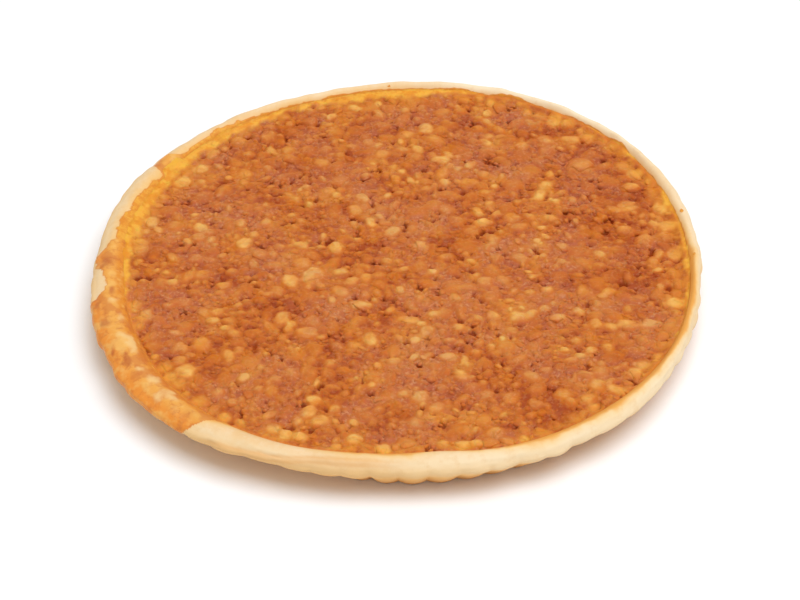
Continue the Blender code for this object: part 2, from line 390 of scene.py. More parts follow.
crust = {
    "columns": 1320,
    "rowStep": 0.62 * mm,
    "flutes": 66,
    "fluteDepth": 1.7 * mm,
    "ribShape": 0.8,  # below 1 the ribs are broad and the grooves narrow
    # (height, share of the depth that is left there)
    "fluteFade": ((6.0 * mm, 1.0), (pie["lipHeight"] - 1.0 * mm, 0.45), (pie["lipHeight"] + 3.0 * mm, 0.0)),
    "floorHeight": 3.2 * mm,
    "baseRadius": 109.0 * mm,
    # the wall goes in under the rim here: (angle, half width in degrees, how far)
    "tuck": (-110, 13, 4.0 * mm),
    "waver": 0.5 * mm,  # small corners in the rim's outline
    "dent": 0.42 * mm,  # hand-pressed dents of the rim
    "layer": 0.14 * mm,  # edges of the rolled layers
    "crease": 0.2 * mm,  # depth of the fold's crease
    "lip": 0.3 * mm,  # how far the fold's lip stands out
    "film": 0.2 * mm,  # thickness of the custard film
    "blotRise": 0.16 * mm,
    "drawnIn": 0.3 * mm,  # the whole shell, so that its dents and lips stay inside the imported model
    # how far a soft yellow stain soaks out from the filling: (angle, mm)
    "soak": ((-180, 0), (-129, 9), (-126, 6), (-121, 2), (-112, 0.5), (-99, 5.0), (-88, 5.0),
             (-82, 2.0), (-74, 5.2), (-68, 6.6), (-62, 7.2), (-58, 6.2), (-52, 6.6), (-48, 7.6),
             (-44, 7.0), (-40, 6.8), (-30, 7.2), (-17, 8.0), (-13, 8.6), (-8, 7.2), (0, 6.0), (10, 2.4),
             (24, 1.0), (40, 0.4), (78, 0.6), (90, 2.2), (130, 2.8), (160, 4.6), (180, 6)),
    # cream (+) and scorched (-) places of the glazed part:
    # (angle, mm along, half length, half width, strength)
    "blots": ((-153.5, 3.5, 6.6, 1.3, 1.0), (-161.5, 3.7, 3.0, 1.1, 0.6), (-142, 4.2, 3.0, 1.7, 1.0),
              (-145.5, 5.7, 2.2, 1.0, 0.8), (-136, 4.2, 4.2, 1.3, 0.8), (-137.5, 7.1, 1.6, 1.6, 0.8),
              (-156, 5.2, 2.4, 1.5, 0.7), (-167, 4.8, 2.4, 1.2, 0.7), (-132.5, 7.4, 3.0, 1.6, 0.35),
              (-148, 9.6, 3.0, 1.0, 0.5), (-170, 4.6, 2.6, 1.0, -1.1), (-165, 0.8, 3.0, 1.0, -0.9),
              (-160.5, 8.1, 3.2, 1.6, -1.0), (-158.3, 4.4, 1.4, 1.1, -0.8),
              (-149.5, 6.2, 3.4, 1.0, -1.2), (-148.4, 8.5, 1.5, 1.6, -1.0), (-153, 8.6, 2.6, 0.9, -0.7),
              (-139.2, 3.6, 1.3, 1.8, -0.6), (-130.5, 5.6, 4.0, 2.4, -0.4),
              (-178.5, 6.8, 4.0, 2.4, -0.9), (-166, 9.5, 3.0, 1.8, -0.8), (176, 7.4, 4.0, 1.6, -0.6),
              (147, 6.0, 3.0, 2.0, -0.3)),
    # crumbs stuck to the rim: (angle, mm along, size)
    "specks": ((14, 4.6, 1.0), (0.4, 4.7, 0.8), (92, 3.2, 0.5)),
    # how much paler than elsewhere: less baked pastry, and painted light on the right-hand rim: (angle,
    # share)
    "fair": ((-180, 0), (-118, 0), (-95, 0.1), (-72, 0.7), (-30, 1.0), (-14, 0.7), (0, 0.4), (28, 0.4),
             (46, 1.0), (76, 1.0), (88, 0.3), (105, 0.4), (118, 0.3), (128, 0), (180, 0)),
    # fold below the crest at the front: (angle, mm along)
    "fold": ((-128, 12.4), (-122, 11.0), (-117, 10.2), (-111.5, 9.3), (-108.5, 8.2), (-106, 7.5),
             (-100, 6.9), (-93, 7.2), (-84, 8.2)),
    # where the fold, and the smaller one below it, start, are full, fade and end, in degrees
    "foldRun": (-129, -122, -97, -86),
    "secondFoldRun": (-120, -114, -98, -88),
}

# distances past the filling's edge at which the height of the pastry's inner face is kept
wallSteps = np.arange(-3.0, 7.0, 0.1) * mm


def crustProfile():
    # radius, height and distance past the filling's edge, along the section from inside floor to base
    edge, top = pie["fillRadius"], pie["fillHeight"]
    rim, lip, crest = pie["rimRadius"], pie["lipHeight"], pie["rimHeight"]
    base = crust["baseRadius"]
    corners = np.array((
        (edge - 9.0 * mm, crust["floorHeight"]),  # inside floor
        (edge - 3.0 * mm, top - 4.5 * mm),  # up the inner wall
        (edge, top),
        (edge + 1.1 * mm, crest - 1.7 * mm),
        (edge + 2.6 * mm, crest - 0.5 * mm),
        (edge + 4.4 * mm, crest),  # over the crest
        (edge + 6.2 * mm, crest - 0.75 * mm),
        (rim - 1.0 * mm, lip + 2.6 * mm),
        (rim, lip),
        (rim - 0.7 * mm, lip - 1.6 * mm),  # in under the rim
        (rim - 2.4 * mm, lip - 3.4 * mm),
        (rim - 6.6 * mm, 5.0 * mm),  # down the outside
        (base + 0.9 * mm, 0.9 * mm),
        (base, 0.0)))
    length = np.r_[0.0, np.cumsum(np.hypot(*np.diff(corners, axis=0).T))]
    along = np.linspace(0.0, length[-1], int(length[-1] / crust["rowStep"]))
    start = length[2]  # the filling's edge
    # each stretch is a Hermite curve through the corners, so the section is rounded
    slope = np.gradient(corners, length, axis=0)
    part = np.clip(np.searchsorted(length, along, side="right") - 1, 0, len(length) - 2)
    span = length[part + 1] - length[part]
    t = ((along - length[part]) / span)[:, None]
    span = span[:, None]
    curve = ((2 * t**3 - 3 * t**2 + 1) * corners[part] + (t**3 - 2 * t**2 + t) * span * slope[part]
             + (3 * t**2 - 2 * t**3) * corners[part + 1] + (t**3 - t**2) * span * slope[part + 1])
    curve[:, 1] = np.maximum(curve[:, 1], 0.0)
    curve[-1] = corners[-1]
    return curve[:, 0], curve[:, 1], along - start


def rimPlace(angle, v, centre, along):  # distance in mm from a place on the rim, round it and along it
    return np.radians(degreesFrom(angle, centre)) * pie["rimRadius"] / mm, v / mm - along


def fluteCut(a, z, v):  # depth * groove between two ribs * random strength, fading up the wall
    uneven = a + 0.011 * np.sin(5.0 * a + 0.7) + 0.008 * np.sin(11.0 * a)
    groove = 1.0 - np.abs(np.cos(crust["flutes"] / 2 * uneven)) ** crust["ribShape"]
    strength = 1.0 + 0.35 * latticeNoise(np.cos(a) * 9.0, np.sin(a) * 9.0, 0.7, 78)
    fade = joined(z, crust["fluteFade"])
    return crust["fluteDepth"] * groove * strength * fade * ease(v, 8.0 * mm, 12.0 * mm)


def tuckIn(a, z):  # bell round one angle * how far, fading up to the lip
    centre, width, reach = crust["tuck"]
    return reach * hump(a, centre, width) * (1.0 - ease(z, 3.0 * mm, pie["lipHeight"]))


def rimFold(a, v):  # crease, raised lip and shaded side, as bells and steps of the distance below the fold
    below = v / mm - around(a, crust["fold"]) + 0.25 * latticeNoise(a * 40.0, 0.5, 0.5, 79)
    opened, second = stretch(a, *crust["foldRun"]), stretch(a, *crust["secondFoldRun"])
    crease = opened * np.exp(-((below / 0.45) ** 2)) + 0.7 * second * np.exp(-(((below - 2.1) / 0.5) ** 2))
    lip = opened * ease(below, 0.0, 1.2) * (1.0 - ease(below, 1.2, 4.5))
    under = 0.6 * opened * ease(below, -1.0, 0.8) * (1.0 - 0.5 * ease(below, 1.6, 3.4)) + 0.5 * crease
    return crease, lip, under


def rimStains(a, v, x, y, height):
    # custard film and soaked stain end at a noisy distance along the rim; blots are bent bells
    edgeNoise = 0.7 * mm * cloudNoise(x, y, height, 4.0 * mm, 41, 3)
    soft = (0.2 + 0.7 * hump(a, 30.0, 70.0)) * mm
    film = ease((around(a, pie["spill"]) * mm + edgeNoise - v) / soft, -1.0, 1.0)
    for centre, place, size in crust["specks"]:
        du, dv = rimPlace(a, v, centre, place)
        film = np.maximum(film, ease(np.hypot(du, dv), 1.3 * size, 0.8 * size))
    soak = ease(around(a, crust["soak"]) * mm + 1.1 * edgeNoise - v, -3.6 * mm, 3.4 * mm)
    blot = np.zeros_like(a)
    bend = 1.3 * cloudNoise(x, y, height, 3.2 * mm, 43, 3)
    for centre, place, length, width, strength in crust["blots"]:
        du, dv = rimPlace(a, v, centre, place)
        blot = blot + strength * np.exp(-((du + bend) / length) ** 2 - ((dv + 0.6 * bend) / width) ** 2)
    turn = np.degrees(a)
    glazed = ease(turn, -182.0, -179.0) * (1.0 - ease(turn, -126.0, -124.0))
    glazed = glazed + ease(turn, 172.0, 176.0) + hump(a, 147.0, 4.0)
    return {"film": film, "soak": soak, "blot": blot, "glazed": glazed}


def rimRelief(a, v, x, y, height, crease, lip, film, blot):
    # how far each point moves out: dents + rolled layers - crease + lip + film + blots - the drawing in
    onRim = ease(v, 1.5 * mm, 6.0 * mm) * (1.0 - ease(v, 17.0 * mm, 24.0 * mm))
    dents = cloudNoise(x, y, height, 11.0 * mm, 3, 2) - 0.4 * np.abs(latticeNoise(x / 0.02, y / 0.02, 0.3, 8))
    layers = latticeNoise(a * 14.0, v / (0.75 * mm) + 1.2 * dents, 0.0, 21)
    layers = layers + 0.6 * latticeNoise(a * 31.0, v / (0.42 * mm), 2.0, 22)
    layered = ease(v, 4.0 * mm, 8.0 * mm) * (1.0 - ease(v, 16.0 * mm, 20.0 * mm))
    coated = ease(v, 0.5 * mm, 2.0 * mm)
    ended = 1.0 - ease(v, 13.0 * mm, 15.0 * mm)
    push = onRim * crust["dent"] * dents + crust["layer"] * layers * layered
    push = push - crust["crease"] * crease + crust["lip"] * lip
    push = push + crust["film"] * film * coated * ended
    return push + crust["blotRise"] * np.abs(blot) * film - crust["drawnIn"]


def innerFace(past, height, along):  # height of the inner face and crest at the even steps, by column
    inner = (along > -6.0 * mm) & (along < 9.0 * mm)
    past, face = past[inner].T, height[inner].T
    low = np.clip((past[:, :, None] < wallSteps).sum(axis=1) - 1, 0, past.shape[1] - 2)
    start, end = np.take_along_axis(past, low, 1), np.take_along_axis(past, low + 1, 1)
    below, above = np.take_along_axis(face, low, 1), np.take_along_axis(face, low + 1, 1)
    return below + (above - below) * np.clip((wallSteps - start) / (end - start), 0.0, 1.0)


def makeCrust(material):
    # r = profile + blended wander - flutes, then every point moves along the section's own normal
    r, z, along = crustProfile()
    angle = np.linspace(-math.pi, math.pi, crust["columns"], endpoint=False)
    a, r = np.meshgrid(angle, r)
    _, z = np.meshgrid(angle, z)
    _, v = np.meshgrid(angle, along)
    across = np.where(v > 10.0 * mm, 1.0, rimShare(r - pie["fillRadius"]))
    share = ease(z, 4.0 * mm, pie["fillHeight"] - 1.0 * mm)
    waver = crust["waver"] * cloudNoise(np.cos(a) * 11.0, np.sin(a) * 11.0, 0.4, 1.0, 77, 2)
    fillShift, rimShift = fillEdge(a) - pie["fillRadius"], rimEdge(a) + waver - pie["rimRadius"]
    shift = share * ((1 - across) * fillShift + across * rimShift) - fluteCut(a, z, v) - tuckIn(a, z)
    lift = share * ((1 - across) * waves(a, pie["fillLift"]) + across * waves(a, pie["rimLift"]))
    radius, height = r + shift, z + lift

    x, y = radius * np.cos(a), radius * np.sin(a)
    crease, lip, under = rimFold(a, v)
    stains = rimStains(a, v, x, y, height)
    push = rimRelief(a, v, x, y, height, crease, lip, stains["film"], stains["blot"])
    alongR, alongZ = np.gradient(radius, axis=0), np.gradient(height, axis=0)
    size = np.maximum(np.hypot(alongR, alongZ), 1e-9)
    radius = radius - push * alongZ / size
    height = height + push * alongR / size
    height = np.where(z < 0.9 * mm, np.maximum(z, 0.0), np.maximum(height, 0.2 * mm))
    x, y = radius * np.cos(a), radius * np.sin(a)

    rows, columns = radius.shape
    points = np.column_stack((x.ravel(), y.ravel(), height.ravel()))
    poles = np.array(((0.0, 0.0, crust["floorHeight"]), (0.0, 0.0, 0.0)))
    faces = ringFaces(rows, columns, rows * columns, rows * columns + 1)
    fields = {**stains, "along": v / mm, "under": under, "fair": around(a, crust["fair"])}
    fields = {label: np.r_[values.ravel(), values[0, 0], values[-1, -1]] for label, values in fields.items()}
    piece = makePiece("pastry_shell", np.vstack((points, poles)), faces, material, fields)
    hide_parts("crust")
    return innerFace(radius - fillEdge(a), height, along)


def wallHeight(wall, angle, past):  # the pastry's height at an angle and a distance past the filling's edge
    u = (angle + math.pi) / math.tau * wall.shape[0]
    v = np.clip((past - wallSteps[0]) / (wallSteps[1] - wallSteps[0]), 0.0, len(wallSteps) - 1.001)
    i, j = np.floor(u).astype(int), np.floor(v).astype(int)
    s, t = u - i, v - j
    i, after = i % wall.shape[0], (i + 1) % wall.shape[0]
    here, there = (wall[column, j] * (1 - t) + wall[column, j + 1] * t for column in (i, after))
    return here * (1 - s) + there * s


pastryColours = {
    "dough": (254, 214, 162), "warmDough": (250, 206, 148), "flour": (255, 232, 195),
    "crest": (255, 226, 178), "fair": (264, 243, 207), "side": (255, 206, 136), "wall": (254, 193, 106),
    "foot": (228, 156, 80), "streak": (244, 196, 134), "foldShade": (242, 180, 110),
    "stain": (254, 198, 100), "deepStain": (244, 162, 62), "seam": (252, 168, 68),
    "custard": (250, 180, 64), "warmCustard": (240, 152, 44), "custardStreak": (228, 132, 38),
    "custardEdge": (238, 142, 46), "innerToast": (240, 150, 44), "midToast": (248, 174, 78),
    "outerToast": (250, 154, 56), "toastStreak": (212, 112, 48), "toastFleck": (252, 190, 102),
    "flake": (212, 110, 46), "paleFlake": (255, 198, 108), "cream": (255, 208, 136),
    "scorch": (194, 94, 42), "filmEdge": (226, 134, 48),
}


def pastryMaterial():
    # pale pastry, stained softly by the filling, then custard film that is browner where it is glazed
    board = Board("baked_pastry", 0.62, pastryColours, **{"Specular IOR Level": 0.3})
    along, film, soak, blot, glazed, under, fair = (
        board.field(label) for label in ("along", "film", "soak", "blot", "glazed", "under", "fair"))
    broad = board.noise(0.014, 3.0)
    fine = board.noise(0.0022, 3.0, 0.6)
    grain = board.noise(0.0006, 2.0, 0.6)
    streak = board.noise(0.004, 4.0, 0.65)
    flake = board.noise(0.009, 3.0, 0.55)

    # bare pastry; "along" is the distance in mm from the filling's edge over the crest and down
    pale = board.coats(board.mix(broad.between(0.35, 0.65), "dough", "warmDough"), {
        "flour": fine.between(0.35, 0.75) * 0.35,
        # painted light: the outward slope past the crest is paler, as where light falls on it
        "crest": along.between(5.5, 8.5) * 0.45,
        # paler pastry, with painted light on the right-hand rim that is brighter than any white paint
        "fair": fair * 0.8,
        # browner down the outer side: the bake's browning, with painted shade that grows down the wall and is
        # deepest at the foot
        "side": along.between(8.0, 12.5) * (0.8 - 0.6 * fair),
        "wall": along.between(12.0, 17.0) * 0.8,
        "foot": along.between(16.0, 24.0) * 0.7,
        "streak": streak.between(0.5, 0.7) * 0.3,
        "foldShade": under * (0.6 + 0.3 * streak),
        "stain": soak * 0.85,
        "deepStain": soak.between(0.55, 1.0) * (0.55 + 0.45 * fine),
        # deeper stain at the pastry's inner edge, kept bright as painted light on that shaded inner face
        "seam": soak * (1.0 - along.between(-0.4, 1.8)) * 0.8,
    })

    # thin custard film
    custard = board.coats(board.mix(fine.between(0.35, 0.65), "custard", "warmCustard"), {
        "custardStreak": streak.between(0.5, 0.62) * 0.5,
        "custardEdge": 0.6 - along.between(0.6, 2.6) * 0.6,
    })

    # browned glaze with flakes, cream blots and scorched ones
    toast = board.coats(board.mix(along.between(2.5, 5.0), "innerToast", "midToast"), {
        "outerToast": along.between(5.5, 9.5),
        "toastStreak": streak.between(0.5, 0.64) * 0.45,
        "toastFleck": fine.between(0.5, 0.68) * 0.35,
        "flake": flake.between(0.5, 0.62) * 0.5,
        "paleFlake": (1.0 - flake.between(0.36, 0.46)) * 0.55,
        "cream": blot.between(0.1, 0.8) * (0.65 + 0.35 * fine),
        "scorch": (blot * -1.0).between(0.1, 0.9) * (0.4 + 0.5 * streak),
    })

    edge = film.between(0.05, 0.5) * (1.0 - film.between(0.6, 1.0))
    colour = board.mix(glazed.between(0.2, 0.8), custard, toast)
    colour = board.mix(edge * 0.6, colour, "filmEdge")
    colour = board.mix(film.between(0.1, 0.7), pale, colour)
    board.feed("Base Color", colour)
    board.feed("Roughness", 0.66 - 0.2 * film)
    board.bump(fine * 0.5 + grain * 0.35 + broad * 0.5, 0.0004, 0.5)
    return board.material


core = {
    "steps": 300,
    "level": 1.3 * mm,  # caramel lies this far below the filling's level
    "sag": 0.95 * mm,  # fall of the caramel from a nut's top to its side
    "pit": 2.0 * mm,  # depth of the pits between nuts
    "pitSize": 2.6 * mm,
    "pitShare": (0.48, 0.84),  # noise at which a pit starts and is deepest
    "swell": 0.3 * mm,  # low waves in the caramel
    "fillet": 0.36 * mm,  # how much caramel clings round the foot of a nut
    "bubble": 1.4 * mm,  # size of a bubble in the bare custard
    "bubbleDepth": 0.4 * mm,
    "skin": 0.25 * mm,  # least thickness of the filling's border on the pastry
    "grain": 0.12 * mm,  # fine unevenness of the caramel
    "drawnIn": 0.08 * mm,  # all of the filling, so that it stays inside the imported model
    "roughness": 0.58,
    # gaps beside the pastry: (angle, distance from the middle, length, width, depth), in mm
    "gaps": ((-128.2, 110, 4.5, 1.0, 2.2), (-124.2, 108.4, 2, 1.2, 1.8), (-113.2, 102, 2, 1.2, 1.8),
             (-98.5, 107.6, 1.8, 1.0, 1.6), (-92.7, 107.4, 2.2, 1.0, 1.8), (-88, 106.8, 1.6, 0.9, 1.6),
             (-83.4, 105.6, 2.6, 0.9, 1.8), (-78.4, 107.8, 1.4, 0.9, 1.6), (-73.2, 109.7, 2.0, 0.9, 1.8),
             (-68.4, 110.7, 1.6, 0.9, 1.6), (-58.9, 112, 1.6, 1.1, 2.0), (-49, 110.2, 1.8, 1.2, 2.0),
             (-42.6, 112.4, 2.6, 1.1, 2.2), (-36.7, 110, 1.6, 1.2, 1.8), (-23.8, 109.5, 1.8, 1.2, 1.8),
             (-154.5, 106.4, 7.0, 0.9, 1.4)),
    "cell": 0.4 * mm,  # raster used to settle caramel round the nuts
    "half": 124.0 * mm,
    "buried": 2.4 * mm,  # the core goes on this far under the pastry's face
    "underside": ((0.965, 9.0 * mm), (0.9, 4.0 * mm)),  # rings below the edge: (share of its radius, height)
    # darker (+) and lighter (-) regions of the bake: (x, y, radius, strength), in mm
    "baked": ((92, 20, 26, 1.0), (84, 58, 22, 0.8), (70, 82, 18, 0.7), (52, -80, 20, 1.0),
              (-45, 84, 28, 0.7), (-82, -10, 18, 0.7), (-32, -64, 15, 0.5), (98, -12, 16, 0.7),
              (0, -30, 12, 0.4), (-96, 22, 12, -1.2), (44, -42, 22, -0.9), (-6, -62, 16, -0.9),
              (-10, 30, 20, -0.3)),
}

# large pieces that have no solid of their own: (angle, distance, length, width, height, turn), in mm
extraNuts = ((21, 98, 11, 8, 6, 10), (-99, 100, 7.5, 7, 5.5, 0), (-29, 69, 8, 6, 5, 20),
             (-120, 29, 9.5, 7, 5.5, -15), (56, 91, 8, 7, 5.5, 30), (-110, 104, 7, 6, 5, 10),
             (24, 66, 9, 6, 5, -30), (88, 84, 9, 6, 5, 15), (168, 62, 9, 7, 5.5, 40))

nuts = {
    # count, smallest and largest length in mm, cuts of the knife, how high they stand (lowest and
    # highest, mm), how pale they are, and how deep the caramel lies below their tops (mm)
    # the fringe goes from first to last (degrees), about spacing mm apart, and lies clear of the
    # pastry by clear to clear + stray mm
    "large": {"subdivisions": 4, "cuts": 7, "rise": (0.3, 0.8), "tone": (0.6, 0.95), "bare": 0.9},
    "fringe": {"first": -116, "last": 240, "spacing": 5.6, "chance": 0.8, "clear": 0.2, "stray": 2.6,
               "small": 4.6, "large": 9.4, "seed": 4, "subdivisions": 3, "cuts": 5,
               "rise": (-0.5, 0.35), "tone": (0.4, 0.95), "bare": 0.7},
    "chunks": {"count": 590, "small": 4.8, "large": 10.0, "seed": 5, "subdivisions": 3, "cuts": 4,
               "rise": (-0.3, 0.35), "tone": (0.3, 0.86), "bare": 0.36},
    "dice": {"count": 1450, "small": 3.0, "large": 4.8, "seed": 6, "subdivisions": 2, "cuts": 5,
             "rise": (-0.55, 0.15), "tone": (0.1, 0.74), "bare": 0.28},
    "bits": {"count": 1300, "small": 2.0, "large": 3.2, "seed": 7, "subdivisions": 2, "cuts": 3,
             "rise": (-0.8, -0.3), "tone": (0.0, 0.55), "bare": 0.24},
    "crumbs": {"count": 320, "small": 1.0, "large": 1.8, "seed": 8, "subdivisions": 2, "cuts": 2,
               "rise": (-0.7, -0.2), "tone": (0.1, 0.7), "bare": 0.2},
}

heap = {  # how chopped nuts are strewn
    "reach": 118.0,  # mm; none is tried further out
    "tries": 14,  # for each piece wanted
    "favourSmall": 1.6,  # above 1, short pieces are commoner than long ones
    "edgeGap": 0.9 * mm,  # from the end of the filling
    "inside": 0.42,  # share of its length that a piece's middle keeps from the border
    "wideBand": 1.2 * mm,  # bare custard as wide as this is mostly kept free
    "strayShare": 0.3,  # chance that a piece may still lie on it
    "theirRoom": 0.36,  # shares of both pieces' sizes kept between their middles
    "ownRoom": 0.40,
}

nutShape = {
    "lump": 0.16,  # share of the radius
    "lumpScale": 1.25,  # lumps along a radius
    "square": (0.6, 0.35),  # power; below 1 is squarer: (least, what chance adds)
    "sideways": 0.45,  # below 1 the cuts face the sides more than the top
    "cutDepth": (0.55, 0.35),  # share of the radius: (least, what chance adds)
    "cutAway": 0.9,  # of what stands past a cut
    "tilt": 0.22,  # radians
}


def roundDirections(subdivisions):  # points and faces of a unit icosphere
    ball = bmesh.new()
    bmesh.ops.create_icosphere(ball, subdivisions=subdivisions, radius=1.0)
    points = np.array([v.co[:] for v in ball.verts])
    faces = np.array([[v.index for v in f.verts] for f in ball.faces])
    ball.free()
    return points / np.linalg.norm(points, axis=1)[:, None], faces


def largePieces():  # centre, size and turn of the pieces that stand in for the solids, then the extra ones
    rows = []
    for name in sorted(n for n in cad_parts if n.startswith("nut_")):
        low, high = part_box(name)
        middle, wide = (low + high) / 2, high - low
        rows.append((middle.x, middle.y, wide.x, wide.y, wide.z, 0.0))
    for angle, distance, length, width, height, turn in extraNuts:
        x, y = distance * mm * math.cos(math.radians(angle)), distance * mm * math.sin(math.radians(angle))
        rows.append((x, y, length * mm, width * mm, height * mm, math.radians(turn)))
    return np.array(rows)


def fringePieces():  # a loose row of pieces that lie against the pastry
    rule = nuts["fringe"]
    rng = np.random.default_rng(rule["seed"])
    angle, rows = math.radians(rule["first"]), []
    while angle < math.radians(rule["last"]):
        length = (rule["small"] + (rule["large"] - rule["small"]) * rng.random()) * mm
        width = length * (0.7 + 0.25 * rng.random())
        turn = wrapped(angle)
        custard = max(float(bandReach(turn)) - heap["wideBand"], -float(climbReach(turn)))
        clear = (rule["clear"] + rule["stray"] * rng.random() ** 2) * mm
        reach = fillEdge(angle) - custard - 0.5 * length - clear
        if rng.random() < rule["chance"]:
            rows.append((reach * math.cos(angle), reach * math.sin(angle), length, width, 0.9 * width,
                         angle + rng.random() * 2.0))
        angle += rule["spacing"] * mm * (0.75 + 0.6 * rng.random()) / reach
    return np.array(rows)


def scatter(kinds, taken):  # darts from large to small; each keeps clear of what already lies there
    placed = list(taken)
    for kind in kinds:
        rule = nuts[kind]
        rng = np.random.default_rng(rule["seed"])
        spots = np.vstack([p[:, :4] for p in placed])
        found, tries = [], 0
        while len(found) < rule["count"] and tries < rule["count"] * heap["tries"]:
            tries += 1
            reach = math.sqrt(rng.random()) * heap["reach"] * mm
            angle = wrapped(rng.random() * math.tau)
            spread = rng.random() ** heap["favourSmall"]
            length = (rule["small"] + (rule["large"] - rule["small"]) * spread) * mm
            width = length * (0.6 + 0.35 * rng.random())
            height = width * (0.8 + 0.3 * rng.random())
            turn = rng.random() * math.pi
            bare = float(bandReach(angle))
            inside = heap["inside"] * length
            edge = float(fillEdge(angle) + climbReach(angle)) - heap["edgeGap"] - inside
            if bare > heap["wideBand"] and rng.random() > heap["strayShare"]:
                edge = float(fillEdge(angle)) - inside - bare
            if reach > edge:
                continue
            x, y = reach * math.cos(angle), reach * math.sin(angle)
            away = np.hypot(spots[:, 0] - x, spots[:, 1] - y)
            theirs, own = heap["theirRoom"] * (spots[:, 2] + spots[:, 3]), heap["ownRoom"] * (length + width)
            if np.any(away < theirs / 2 + own / 2):
                continue
            row = (x, y, length, width, height, turn)
            found.append(row)
            spots = np.vstack((spots, [row[:4]]))
        placed.append(np.array(found))
        print(f"{kind}: {len(found)} of {rule['count']} placed in {tries} tries")
    return placed


def turned(first, second, angle):  # two coordinates after a turn in their own plane
    return first * np.cos(angle) - second * np.sin(angle), first * np.sin(angle) + second * np.cos(angle)


def shapeNuts(rows, rule, seed):
    # unit ball, made lumpy by noise, squared a little, cut by random planes, scaled, turned and set down
    ball, ballFaces = roundDirections(rule["subdivisions"])
    rng = np.random.default_rng(seed)
    n = len(rows)
    own = rng.random((n, 1, 3)) * 90.0  # each nut reads the noise at a place of its own
    d = np.repeat(ball[None], n, axis=0)
    places = np.moveaxis(d * nutShape["lumpScale"] + own, 2, 0)
    lump = 1.0 + nutShape["lump"] * latticeNoise(*places, seed)
    least, more = nutShape["square"]
    p = np.sign(d) * np.abs(d) ** (least + more * rng.random((n, 1, 1))) * lump[..., None]
    least, more = nutShape["cutDepth"]
    for _ in range(rule["cuts"]):
        normal = rng.normal(size=(n, 1, 3))
        normal[..., 2] = np.abs(normal[..., 2]) * nutShape["sideways"]
        normal /= np.linalg.norm(normal, axis=2, keepdims=True)
        depth = least + more * rng.random((n, 1))
        over = np.maximum((p * normal).sum(axis=2) - depth, 0.0)
        p = p - nutShape["cutAway"] * over[..., None] * normal
    p = p * (rows[:, None, 2:5] / 2.0)
    tilt = rng.normal(size=(n, 1)) * nutShape["tilt"]
    p[..., 1], p[..., 2] = turned(p[..., 1], p[..., 2], tilt)
    p[..., 0], p[..., 1] = turned(p[..., 0], p[..., 1], rows[:, 5][:, None])
    lowest, highest = rule["rise"]
    level = fillTop(rows[:, 0], rows[:, 1]) + (lowest + (highest - lowest) * rng.random(n)) * mm
    p[..., 2] += (level - p[..., 2].max(axis=1))[:, None]
    p[..., :2] += rows[:, None, :2]
    pale, palest = rule["tone"]
    tone = pale + (palest - pale) * rng.random(n)
    faces = (ballFaces[None] + (np.arange(n) * len(ball))[:, None, None]).reshape(-1, 3)
    return p, faces, tone


def blur(field, rounds):  # a quarter of each neighbour and half of itself, along both axes, so many times
    for _ in range(rounds):
        for axis in (0, 1):
            field = 0.25 * np.roll(field, 1, axis) + 0.5 * field + 0.25 * np.roll(field, -1, axis)
    return field


def sample(field, x, y):  # the raster read at any point, straight between its cells
    u = np.clip((x + core["half"]) / core["cell"], 0, field.shape[1] - 1.001)
    v = np.clip((y + core["half"]) / core["cell"], 0, field.shape[0] - 1.001)
    i, j = np.floor(u).astype(int), np.floor(v).astype(int)
    s, t = u - i, v - j
    return ((field[j, i] * (1 - s) + field[j, i + 1] * s) * (1 - t)
            + (field[j + 1, i] * (1 - s) + field[j + 1, i + 1] * s) * t)


def cellsNear(centre, half):  # slice of the raster that covers half of a size on both sides of a centre
    first, last = (int((centre + s * half + core["half"]) / core["cell"]) for s in (-1, 1))
    return slice(first, last + 2)


def caramelBase(x, y, past, level):  # the filling's level - how far it is sunken - pits + low swells
    pits = ease(cloudNoise(x, y, 0.0, core["pitSize"], 51, 2), *core["pitShare"])
    sunken = core["level"] * (1.0 - 0.75 * ease(past, -3.2 * mm, -0.8 * mm))
    return level - sunken - core["pit"] * pits + core["swell"] * cloudNoise(x, y, 0.0, 9.0 * mm, 52, 2)


def settleNuts(x, y, field, groups):
    # over each nut the caramel is at least its top - sunk - sag * (1 - share)^1.5, and glows by its tone
    glow = np.zeros_like(field)
    rough = 0.38 * latticeNoise(x / (2.1 * mm), y / (2.1 * mm), 0.5, 59)
    for rows, tops, tones, sunk in groups:
        for (cx, cy, length, width, _, turn), top, tone in zip(rows, tops, tones):
            patch = cellsNear(cy, 0.6 * length), cellsNear(cx, 0.6 * length)
            dx, dy = x[patch] - cx, y[patch] - cy
            along = dx * math.cos(turn) + dy * math.sin(turn)
            across = dy * math.cos(turn) - dx * math.sin(turn)
            share = 1.0 - (2 * along / length) ** 2 - (2 * across / width) ** 2 + rough[patch]
            share = np.clip(share, -1.0, 1.0)
            dome = top - sunk * mm - core["sag"] * (1.0 - share) ** 1.5
            field[patch] = np.maximum(field[patch], np.where(share > 0, dome, -1.0))
            glow[patch] = np.maximum(glow[patch], tone * ease(share, -0.35, 0.9))
    return 0.5 * field + 0.5 * blur(field, 3), 0.4 * glow + 0.6 * blur(glow, 4)


def cutGaps(x, y, field):  # each gap takes a narrow bell out of the level
    waver = 0.5 * mm * cloudNoise(x, y, 0.0, 2.0 * mm, 57, 2)
    for degrees, distance, length, width, deep in core["gaps"]:
        turn = math.radians(degrees)
        out = x * math.cos(turn) + y * math.sin(turn) - distance * mm
        beside = y * math.cos(turn) - x * math.sin(turn) + waver
        bell = np.exp(-(out / (width * mm)) ** 2 - (beside / (length * mm)) ** 2)
        field = field - deep * mm * bell
    return field


def laySkin(field, pastry, past, end):  # over the pastry the filling is a skin that thins towards its end
    start = np.maximum(end - 2.4 * mm, -0.3 * mm)
    taper = 1.0 - ease((past - start) / (end - start), 0.0, 0.9)
    skin = np.maximum(field - pastry, core["skin"]) * taper - core["drawnIn"]
    skin = skin - 0.4 * np.maximum(past - end, 0.0)
    return np.where(past > -1.5 * mm, pastry + skin, field)


